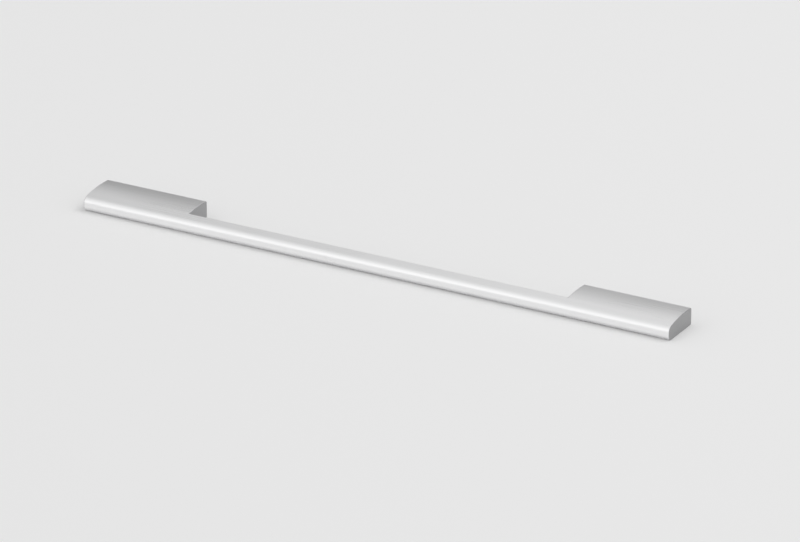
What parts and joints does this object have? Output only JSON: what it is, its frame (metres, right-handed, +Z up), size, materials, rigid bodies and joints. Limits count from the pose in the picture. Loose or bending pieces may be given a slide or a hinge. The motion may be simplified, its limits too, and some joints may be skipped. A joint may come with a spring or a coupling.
{
  "type": "refrigerator door handle",
  "caption": "Long satin aluminium refrigerator door handle: a slim bar with a rounded nose and a deep flat foot at each end, screwed on from behind the door.",
  "frame": {"origin": "on the door plane, midway between the two mounting screws", "axes": "+X along the bar, +Y into the door so that -Y faces the user, +Z up"},
  "size_m": [0.6222, 0.0445, 0.0173],
  "materials": {
    "satin_aluminium": "satin"
  },
  "bodies": {
    "root": {"door_handle": "satin_aluminium"}
  },
  "joints": []
}
